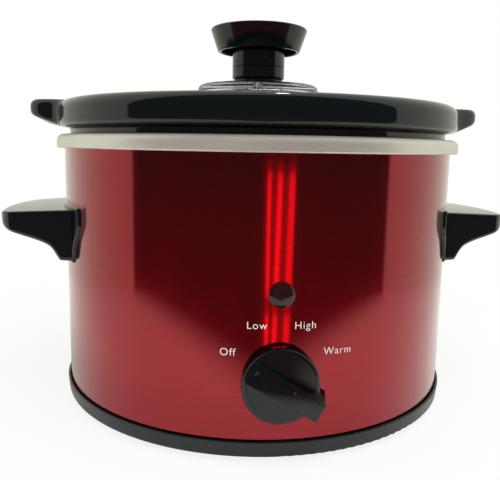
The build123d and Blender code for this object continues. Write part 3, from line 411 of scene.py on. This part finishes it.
def turn(name, corners, node, body, lugCorners=None, steps=192, arcSteps=8, lugAngle=0.0, lugBlend=1.0):
    points = roundedOutline(corners, arcSteps)
    section = sectionObject(name + "Section", points)
    lug = sectionObject(name + "Lug", roundedOutline(lugCorners or corners, arcSteps))
    piece = bakeNodes(name, turnedPiece, {
        "Section": section, "Lug section": lug, "Points": len(points), "Steps": steps,
        "Lug half angle": math.radians(lugAngle), "Lug blend": math.radians(lugBlend),
        "Material": finishes[node]})
    for helper in (section, lug):
        bpy.data.objects.remove(helper)
    shadeByAngle(piece)
    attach(piece, body)
    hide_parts(node)


crockSize = {
    "footRadius": 78.6, "footRound": 11, "bodyRadius": 80.8, "neckRadius": 89.4, "neckHeight": 2.5,
    "lipRadius": 94.6, "lipHeight": 12.5, "lipInner": 86.4, "lipInnerRound": 2.2, "ledgeRadius": 84.0,
    "ledgeDrop": 6.0, "ledgeWidth": 5.0, "wall": 6.2, "wallRound": 8, "floor": 7.0, "floorRound": 13,
    "lugReach": edge("crock", 1, 0), "lugRise": 0.4, "lugAngle": 17.5, "lugBlend": 10.0}
rimTop = edge("rim_ring", 1, 2)
lipLow = rimTop + crockSize["neckHeight"]
crest = lipLow + crockSize["lipHeight"]
ledge = crest - crockSize["ledgeDrop"]
crockBase = edge("crock", 0, 2)


def crockSection(size, underside, low, high):
    # The crock's outside from the foot up, over the lip and down the inside; three corners shape the lip.
    floorTop = crockBase + size["floor"]
    return [
        (0, crockBase, 0), (size["footRadius"], crockBase, size["footRound"]),
        (size["bodyRadius"], rimTop, 0.8), (size["neckRadius"], rimTop, 0.4),
        (size["neckRadius"], lipLow, 0.8), underside, low, high,
        (size["lipInner"], crest, size["lipInnerRound"]), (size["ledgeRadius"], ledge, 0.8),
        (size["ledgeRadius"] - size["ledgeWidth"], ledge, 1.5),
        (size["bodyRadius"] - size["wall"], lipLow, size["wallRound"]),
        (size["footRadius"] - size["wall"], floorTop, size["floorRound"]), (0, floorTop, 0)]


lipRadius, lugReach = crockSize["lipRadius"], crockSize["lugReach"]
turn("crockPot",
     crockSection(crockSize, (91.4, lipLow + 0.3, 0.5), (lipRadius, lipLow + 1.0, 3.0),
                  (lipRadius, crest, 5.0)),
     "crock", "crock",
     crockSection(crockSize, (98.5, lipLow + 2.2, 6.0), (lugReach, lipLow + 6.2, 3.0),
                  (lugReach, crest + crockSize["lugRise"], 3.0)),
     steps=360, arcSteps=9, lugAngle=crockSize["lugAngle"], lugBlend=crockSize["lugBlend"])

rimSize = {"radius": edge("rim_ring", 1, 0), "sheet": 0.8, "round": 3.0, "turnIn": 1.6, "inner": 84.6}
rimLow = edge("rim_ring", 0, 2)
outer, sheet, turnIn = rimSize["radius"], rimSize["sheet"], rimSize["radius"] - rimSize["turnIn"]
turn("rimRing",
     [(rimSize["inner"], rimTop, 0), (outer, rimTop, rimSize["round"]), (outer, rimLow, 0.8),
      (turnIn, rimLow, 0.2), (turnIn, rimLow + sheet, 0.1), (outer - sheet, rimLow + sheet, 0.1),
      (outer - sheet, rimTop - sheet, rimSize["round"] - sheet), (rimSize["inner"], rimTop - sheet, 0),
      (rimSize["inner"], rimTop, 0)],
     "rim_ring", "body", steps=256)

lidSize = {"radius": edge("lid_glass", 1, 0), "thickness": 3.6, "disc": 29.0, "crown": 139.2, "hole": 3.2,
           "flatRim": 7, "domeRound": 20}
discTop = edge("lid_glass", 1, 2)
thickness = lidSize["thickness"]
lidRim, disc, crown, hole = lidSize["radius"], lidSize["disc"], lidSize["crown"], lidSize["hole"]
flat = lidRim - lidSize["flatRim"]
turn("lidGlassDome",
     [(hole, discTop, 0), (disc, discTop, 2.2), (disc + 1.2, crown, 1.2),
      (flat, ledge + thickness + 0.2, lidSize["domeRound"]), (lidRim, ledge + thickness, 1.6),
      (lidRim, ledge, 0.9), (flat, ledge, 4), (disc - 1.5, crown - thickness, 2.5),
      (disc - 3, discTop - thickness, 1.2), (hole, discTop - thickness, 0), (hole, discTop, 0)],
     "lid_glass", "lid", steps=192)

knobSize = {"collar": 12.2, "stem": 12.7, "seam": 153.6, "cupLow": 161.0, "cupLowRadius": 19.8, "wall": 1.8,
            "plate": 3.0, "stemWall": 2.4, "stemFloor": 2.4, "boss": 4.4, "screw": 2.0, "screwDepth": 3}
collarTop, knobTop, knobRadius = edge("lid_knob_collar", 1, 2), edge("lid_knob", 1, 2), edge("lid_knob", 1, 0)
screw, stem, seam, boss = knobSize["screw"], knobSize["stem"], knobSize["seam"], knobSize["boss"]
stemInner, stemFloor = stem - knobSize["stemWall"], collarTop + knobSize["stemFloor"]
turn("knobCollar",
     [(screw, discTop, 0), (knobSize["collar"], discTop, 0.6), (knobSize["collar"], collarTop, 1.1),
      (screw, collarTop, 0), (screw, discTop, 0)], "lid_knob_collar", "lid", steps=128)
turn("knobStem",
     [(screw, collarTop, 0), (stem, collarTop, 1.1), (stem, seam, 0.35), (stemInner, seam, 0),
      (stemInner, stemFloor, 0.5), (boss, stemFloor, 0.5), (boss, seam, 0), (screw, seam, 0),
      (screw, collarTop, 0)], "lid_knob_stem", "lid", steps=128)
plateLow = knobTop - knobSize["plate"]
screwTop = plateLow - knobSize["screwDepth"]
cupLow, cupLowRadius = knobSize["cupLow"], knobSize["cupLowRadius"]
cupInner = cupLowRadius - knobSize["wall"]
slope = (knobRadius - cupLowRadius) / (knobTop - cupLow)
turn("knobCup",
     [(0, knobTop, 0), (knobRadius, knobTop, 0.8), (cupLowRadius, cupLow, 0.6),
      (cupInner, cupLow, 0.5), (cupInner + slope * (plateLow - cupLow), plateLow, 1.0),
      (stem, plateLow, 1.2), (stem, seam, 0.35), (stemInner, seam, 0), (stemInner, plateLow, 0.8),
      (boss, plateLow, 0.8), (boss, seam, 0), (screw, seam, 0), (screw, screwTop, 0), (0, screwTop, 0)],
     "lid_knob", "lid", steps=128)
print("Turned pieces made")


def softenedCopy(name, node, body, degrees, bevel, segments):
    # Welded copy of a frame node with smooth faces and softened edges.
    mesh = nodes[node].data.copy()
    mesh.name = name
    shape = bmesh.new()
    shape.from_mesh(mesh)
    bmesh.ops.remove_doubles(shape, verts=shape.verts, dist=0.000002)
    bmesh.ops.dissolve_limit(shape, angle_limit=math.radians(0.4), verts=shape.verts, edges=shape.edges)
    shape.to_mesh(mesh)
    shape.free()
    piece = bpy.data.objects.new(name, mesh)
    bpy.context.scene.collection.objects.link(piece)
    softened = piece.modifiers.new("softEdges", "BEVEL")
    softened.width = bevel * mm
    softened.segments = segments
    softened.limit_method = "ANGLE"
    softened.angle_limit = math.radians(degrees)
    softened.harden_normals = False
    softened.use_clamp_overlap = True
    bpy.context.view_layer.update()
    made = bpy.data.meshes.new_from_object(piece.evaluated_get(bpy.context.evaluated_depsgraph_get()))
    piece.modifiers.clear()
    piece.data = made
    if "custom_normal" in made.attributes:
        made.attributes.remove(made.attributes["custom_normal"])
    made.shade_smooth()
    made.set_sharp_from_angle(angle=math.radians(degrees))
    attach(piece, body)
    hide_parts(node)


softenedCopy("controlKnob", "control_knob", "control", degrees=28, bevel=0.45, segments=3)

handleSize = {
    "wrap": 92.0, "flange": 1.0, "flangeRound": 0.5, "flangeSteps": 60, "tip": edge("right_handle", 1, 0),
    "sweep": 3.5, "rootHalf": 39.4, "tipHalf": 31.0, "cornerStart": 0.84, "cornerRound": 7.0,
    "topRoot": 87.4, "topTip": 85.5, "crown": 0.2, "topRound": 1.0, "lowRound": 1.6, "endRound": 1.3,
    "alongSteps": 40, "cornerSteps": 24,
    # height of the underside by share of the way out
    "underside": ((0, 65), (0.165, 65.1), (0.2, 66.6), (0.25, 69.2), (0.32, 71.5), (0.5, 73.8),
                  (0.7, 75.5), (0.86, 77), (0.95, 78.6), (1, 80.4)),
    # half width of the flange by height
    "flangeHalf": ((64.6, 39.6), (68, 40.1), (71, 41), (74.5, 43), (78, 45.8), (82, 47.4),
                   (87, 47.6), (88.9, 47))}


def curveThrough(table, at):
    # Height of a smooth curve through the table's points that never overshoots them.
    places, heights = zip(*table)
    at = min(max(at, places[0]), places[-1])
    steps = [(heights[i + 1] - heights[i]) / (places[i + 1] - places[i]) for i in range(len(table) - 1)]
    middle = [2 * a * b / (a + b) if a * b > 0 else 0.0 for a, b in zip(steps, steps[1:])]
    slopes = [steps[0]] + middle + [steps[-1]]
    i = next(i for i in range(len(steps)) if at <= places[i + 1])
    span = places[i + 1] - places[i]
    part = (at - places[i]) / span
    rise = heights[i + 1] - heights[i]
    return (heights[i] + rise * part * part * (3 - 2 * part)
            + span * part * (1 - part) * (slopes[i] * (1 - part) - slopes[i + 1] * part))


def inset(left, radius):
    # How far a quarter round has drawn in when this much of the length is left.
    return radius - math.sqrt(radius ** 2 - (radius - left) ** 2) if left < radius else 0.0


def roundedLoop(low, high, lowRound, highRound, across=24, arcSteps=6, rise=4):
    # Loop round a slab's section, as (share of the half width, distance in from it, height).
    def corner(side, radius, height, first, last):
        turns = [math.radians(first + (last - first) * step / arcSteps) for step in range(arcSteps + 1)]
        return [(side, radius * (1 - math.sin(a)), height - radius * math.cos(a)) for a in turns]

    foot, brow = low + lowRound, high - highRound
    climb = [(1, 0, foot + (brow - foot) * i / rise) for i in range(1, rise)]
    top = [(1 - 2 * i / across, highRound, high) for i in range(1, across)]
    fall = [(-1, 0, brow - (brow - foot) * i / rise) for i in range(1, rise)]
    under = [(-1 + 2 * i / across, lowRound, low) for i in range(1, across)]
    return (corner(1, lowRound, foot, 0, 90) + climb + corner(1, highRound, brow, 90, 180) + top
            + corner(-1, highRound, brow, 180, 90) + fall + corner(-1, lowRound, foot, 90, 0) + under)


def loft(shape, loops):
    # Closed skin over a row of loops.
    rings = [[shape.verts.new(point) for point in loop] for loop in loops]
    for first, second in zip(rings, rings[1:]):
        for i in range(len(first)):
            j = (i + 1) % len(first)
            shape.faces.new((first[i], first[j], second[j], second[i]))
    shape.faces.new(rings[0])
    shape.faces.new(rings[-1])


def gripLoops(size):
    # Sections of the grip from its seat in the flange out to the rounded end.
    start, cornerSteps, alongSteps = size["cornerStart"], size["cornerSteps"], size["alongSteps"]
    seat = size["wrap"] + size["flange"] / 3
    stations = [i / alongSteps * start for i in range(alongSteps)]
    quarter = [math.sin(math.radians(90 * i / cornerSteps)) for i in range(cornerSteps + 1)]
    stations += [start + (1 - start) * share for share in quarter]
    loops = []
    for at in stations:
        drawn = inset((1 - at) * (size["tip"] - seat), size["endRound"])
        corner = max(0.0, (at - start) / (1 - start))
        half = (size["rootHalf"] + (size["tipHalf"] - size["rootHalf"]) * at
                - size["cornerRound"] * (1 - math.sqrt(1 - corner ** 2)))
        high = size["topRoot"] + (size["topTip"] - size["topRoot"]) * at - drawn
        low = curveThrough(size["underside"], at) + drawn
        loop = []
        for share, inward, height in roundedLoop(low, high, size["lowRound"], size["topRound"]):
            y = share * (half - inward)
            root = math.sqrt(seat ** 2 - y ** 2)
            tip = size["tip"] - size["sweep"] * (y / size["tipHalf"]) ** 2
            crown = size["crown"] * (1 - share ** 2) if height > (low + high) / 2 else 0.0
            loop.append((root + at * (tip - root), y, height + crown))
        loops.append(loop)
    return loops


def flangeLoops(size):
    # Level sections of the flange, bent round the wrap.
    table, steps = size["flangeHalf"], size["flangeSteps"]
    low, high = table[0][0], table[-1][0]
    loops = []
    for step in range(steps + 1):
        height = low + (high - low) * (1 - math.cos(math.pi * step / steps)) / 2
        drawn = inset(min(height - low, high - height), size["flangeRound"])
        half = curveThrough(table, height)
        outside = size["wrap"] + size["flange"] - drawn
        edgeRound = min(size["flangeRound"], size["flange"] - drawn - 0.1)
        loop = []
        for share, inward, radius in roundedLoop(size["wrap"], outside, 0.05, edgeRound):
            y = share * (half - inward)
            loop.append((math.sqrt(radius ** 2 - y ** 2), y, height))
        loops.append(loop)
    return loops


def makeHandle(name, node, side):
    # A grip grown out of a thin flange that lies on the wrap; side is 1 for +X and -1 for -X.
    shape = bmesh.new()
    for loops in (gripLoops(handleSize), flangeLoops(handleSize)):
        loft(shape, [[(side * x * mm, side * y * mm, z * mm) for x, y, z in loop] for loop in loops])
    mesh = bpy.data.meshes.new(name)
    shape.to_mesh(mesh)
    shape.free()
    mesh.materials.append(finishes[node])
    piece = bpy.data.objects.new(name, mesh)
    bpy.context.scene.collection.objects.link(piece)
    shadeByAngle(piece, 32)
    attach(piece, "body")
    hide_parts(node)


makeHandle("rightHandle", "right_handle", 1)
makeHandle("leftHandle", "left_handle", -1)
print("Handles made")

printSize = {"capHeight": 2.95, "capShare": 0.729, "spacing": 1.14, "thin": 0.035, "proud": 0.03, "lift": 0.01}
wrapRadius = edge("outer_wrap", 1, 0)
# degrees from the front, height
words = {"Off": (-12.2, 41.2), "Low": (-5.55, 51.6), "High": (5.7, 51.5), "Warm": (13.9, 41.0)}


def printWord(word, angle, height):
    # A word whose middle stands at an angle from the front and a height, wrapped on the sheet.
    curve = bpy.data.curves.new("word" + word, "FONT")
    curve.body = word
    curve.align_x = "CENTER"
    curve.size = printSize["capHeight"] / printSize["capShare"] * mm
    curve.space_character = printSize["spacing"]
    curve.resolution_u = 6
    curve.offset = -printSize["thin"] * mm
    curve.extrude = printSize["proud"] / 2 * mm
    carrier = bpy.data.objects.new("word" + word, curve)
    bpy.context.scene.collection.objects.link(carrier)
    bpy.context.view_layer.update()
    mesh = bpy.data.meshes.new_from_object(carrier.evaluated_get(bpy.context.evaluated_depsgraph_get()))
    bpy.data.objects.remove(carrier)
    mesh.name = "word" + word
    for vertex in mesh.vertices:
        across, up, out = vertex.co
        turned = math.radians(angle) + across / (wrapRadius * mm)
        radius = (wrapRadius + printSize["lift"] + printSize["proud"] / 2) * mm + out
        vertex.co = (radius * math.sin(turned), -radius * math.cos(turned),
                     (height - printSize["capHeight"] / 2) * mm + up)
    mesh.materials.clear()
    mesh.materials.append(printInk)
    piece = bpy.data.objects.new("word" + word, mesh)
    bpy.context.scene.collection.objects.link(piece)
    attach(piece, "body")


for word, (angle, height) in words.items():
    printWord(word, angle, height)
print("Words printed")

stageSize = {
    "floorRadius": 0.335, "fadeFrom": 0.1, "fadeTo": 0.3, "shadowDepth": 0.85,
    "notchTip": 0.165, "notchDepth": 0.15, "notchHalf": 60.0, "notchMiddle": -3.0, "notchSoft": 0.045}
roomLook = {
    "darkLeft": -78.0, "darkRight": 71.5, "darkTop": 14.0, "soft": 0.02,     # bearings, then rise per run
    "deepFrom": -0.02, "deepTo": -0.36, "bands": 3.5, "bandGlow": 1.6,
    "side": rgb(0.82, 0.82, 0.72), "front": rgb(0.1, 0.08, 0.085), "glow": rgb(0.3, 0.06, 0.07)}


def between(tree, value, low, high, soft):
    # 1 inside a range, 0 outside it, with soft edges.
    rise = rampOf(tree, value, low - soft, low + soft, interpolation_type="SMOOTHSTEP")
    fall = rampOf(tree, value, high - soft, high + soft, 1.0, 0.0, interpolation_type="SMOOTHSTEP")
    return calc(tree, "MULTIPLY", rise, fall)


def bearingOf(tree, split):
    # Angle from the front, towards +X.
    return calc(tree, "ARCTAN2", split.outputs[0], calc(tree, "MULTIPLY", split.outputs[1], -1.0))


floorMesh = bpy.data.meshes.new("floor")
shape = bmesh.new()
bmesh.ops.create_circle(shape, cap_ends=True, radius=stageSize["floorRadius"], segments=96,
                        matrix=Matrix.Translation((0, 0, cadBox[0][2])))
shape.to_mesh(floorMesh)
shape.free()
floor = bpy.data.objects.new("floor", floorMesh)
bpy.context.scene.collection.objects.link(floor)
paleFloor, tree, shader = newMaterial("paleFloor", Roughness=0.6)
shader.inputs["Base Color"].default_value = rgb(0.86, 0.86, 0.85)
white = addNode(tree, "ShaderNodeEmission", [("Color", rgb(1, 1, 1)), ("Strength", 1.0)])
floorPlace = addNode(tree, "ShaderNodeTexCoord").outputs["Object"]
floorReach = addNode(tree, "ShaderNodeVectorMath", [(0, floorPlace)], operation="LENGTH").outputs["Value"]
fade = rampOf(tree, floorReach, stageSize["fadeFrom"], stageSize["fadeTo"], stageSize["shadowDepth"], 1.0)
rays = addNode(tree, "ShaderNodeLightPath")
seen = calc(tree, "MULTIPLY", rays.outputs["Is Camera Ray"], fade)
blend = addNode(tree, "ShaderNodeMixShader", [(0, seen), (1, shader.outputs[0]), (2, white.outputs[0])])
# In front, gloss sees past the floor's edge, which comes in to a soft notch.
floorWay = addNode(tree, "ShaderNodeSeparateXYZ", [(0, floorPlace)])
floorBearing = calc(tree, "ABSOLUTE", calc(tree, "SUBTRACT", bearingOf(tree, floorWay),
                                           math.radians(stageSize["notchMiddle"])))
tip = stageSize["notchTip"]
notchEdge = rampOf(tree, floorBearing, 0.0, math.radians(stageSize["notchHalf"]),
                   tip, tip + stageSize["notchDepth"])
openFloor = rampOf(tree, calc(tree, "SUBTRACT", floorReach, notchEdge), -stageSize["notchSoft"],
                   stageSize["notchSoft"], interpolation_type="SMOOTHSTEP")
cut = calc(tree, "MULTIPLY", openFloor, rays.outputs["Is Glossy Ray"])
clear = addNode(tree, "ShaderNodeBsdfTransparent")
notched = addNode(tree, "ShaderNodeMixShader", [(0, cut), (1, blend.outputs[0]), (2, clear.outputs[0])])
tree.links.new(notched.outputs[0], tree.nodes["Material Output"].inputs["Surface"])
floorMesh.materials.append(paleFloor)

world = bpy.data.worlds.new("room")
world.use_nodes = True
bpy.context.scene.world = world
tree = world.node_tree
way = addNode(tree, "ShaderNodeSeparateXYZ", [(0, addNode(tree, "ShaderNodeTexCoord").outputs["Generated"])])
bearing = bearingOf(tree, way)
# Pale side walls, and in front a dark part of the room that rises towards the viewer and glows low down.
dark = between(tree, bearing, math.radians(roomLook["darkLeft"]), math.radians(roomLook["darkRight"]),
               roomLook["soft"])
roof = calc(tree, "MULTIPLY", way.outputs[1], -roomLook["darkTop"])
under = rampOf(tree, calc(tree, "SUBTRACT", way.outputs[2], roof), -0.05, 0.05, 1.0, 0.0)
dark = calc(tree, "MULTIPLY", dark, under)
deep = rampOf(tree, way.outputs[2], roomLook["deepFrom"], roomLook["deepTo"])
bands = addNode(tree, "ShaderNodeTexNoise", [("W", calc(tree, "MULTIPLY", bearing, roomLook["bands"])),
                                            ("Scale", 1.0), ("Detail", 3.0)], noise_dimensions="1D")
glow = calc(tree, "MULTIPLY", deep, calc(tree, "MULTIPLY", bands.outputs[0], roomLook["bandGlow"]))
murk = mixColours(tree, glow, roomLook["front"], roomLook["glow"])
tone = mixColours(tree, dark, roomLook["side"], murk)
rays = addNode(tree, "ShaderNodeLightPath")
plain = calc(tree, "MAXIMUM", rays.outputs["Is Camera Ray"], rays.outputs["Is Transmission Ray"])
shown = mixColours(tree, plain, tone, rgb(1, 1, 1))
tree.links.new(shown, tree.nodes["Background"].inputs["Color"])


def areaLight(name, place, target, size, power, glossy, colour=(1, 1, 1)):
    data = bpy.data.lights.new(name, "AREA")
    data.shape = "RECTANGLE"
    data.size, data.size_y = size
    data.energy = power
    data.color = colour
    lamp = bpy.data.objects.new(name, data)
    lamp.location = place
    lamp.rotation_euler = (Vector(target) - Vector(place)).to_track_quat("-Z", "Y").to_euler()
    lamp.visible_glossy = glossy
    bpy.context.scene.collection.objects.link(lamp)
    return lamp


# Place, the point it faces, width and height, power, whether gloss shows it.
lampSize = {
    "topSoft": ((0.1, -0.35, 0.75), (0, 0, 0.08), (0.6, 0.4), 5.0, False),
    "frontSoft": ((-0.3, -0.75, 0.25), (0, 0, 0.08), (0.5, 0.4), 3.0, False),
    "ceilingLamp": ((0.17, 0.33, 1.3), (0, 0, 0.12), (0.07, 0.05), 1.0, True)}
for lampName, lampValues in lampSize.items():
    areaLight(lampName, *lampValues)

# Lit strips that only the wrap mirrors, as a narrow window in a dark room does: left, right, radiance.
stripSize = {
    "reach": 0.192, "spans": ((0.008, 0.0262), (0.0362, 0.1025)), "lean": 2.4, "red": (1.0, 0.02, 0.045),
    "strips": ((-0.0096, -0.0044, 3.6), (0.0044, 0.0104, 3.6), (0.0198, 0.0282, 2.8), (-0.01, 0.0285, 0.35))}
mirrored = bpy.data.collections.new("stripMirror")
mirrored.objects.link(nodes["outer_wrap"])
lean, pivot = math.radians(stripSize["lean"]), stripSize["spans"][1][0]
for span, (bottom, top) in enumerate(stripSize["spans"]):
    for number, (left, right, radiance) in enumerate(stripSize["strips"]):
        width, height = right - left, top - bottom
        level = (top + bottom) / 2
        middle = (left + right) / 2 + (level - pivot) * math.tan(lean)
        strip = areaLight("strip%d%d" % (span, number), place=(middle, -stripSize["reach"], level),
                          target=(middle, 0, level), size=(width, height),
                          power=radiance * math.pi * width * height, glossy=True, colour=stripSize["red"])
        strip.rotation_euler.rotate_axis("Z", -lean)
        strip.visible_camera = False
        strip.light_linking.receiver_collection = mirrored

cameraSize = {"distance": 298.8, "height": 115.8, "turn": 6.3, "yaw": -0.0088, "pitch": 0.1576,
              "roll": 0.0177, "lens": 42.41, "film": 36.0}
facing = math.radians(cameraSize["turn"])
yaw, pitch = cameraSize["yaw"], cameraSize["pitch"]
local = Vector((math.sin(yaw), math.cos(yaw), 0))
ahead = Vector((math.cos(facing) * local.x + math.sin(facing) * local.y,
                -math.sin(facing) * local.x + math.cos(facing) * local.y, 0))
forward = ahead * math.cos(pitch) - Vector((0, 0, math.sin(pitch)))
sideways = ahead.cross(Vector((0, 0, 1)))
upward = sideways.cross(forward)
cameraData = bpy.data.cameras.new("camera")
cameraData.lens = cameraSize["lens"]
cameraData.sensor_width = cameraSize["film"]
cameraData.sensor_fit = "HORIZONTAL"
cameraData.clip_start = 0.01
camera = bpy.data.objects.new("camera", cameraData)
spin = Matrix((sideways, upward, -forward)).transposed().to_4x4()
camera.matrix_world = (Matrix.Translation((-cameraSize["distance"] * mm * math.sin(facing),
                                           -cameraSize["distance"] * mm * math.cos(facing),
                                           cameraSize["height"] * mm))
                       @ spin @ Matrix.Rotation(cameraSize["roll"], 4, "Z"))
bpy.context.scene.collection.objects.link(camera)
bpy.context.scene.camera = camera
bpy.context.scene.view_settings.view_transform = "Standard"
print("Stage set")
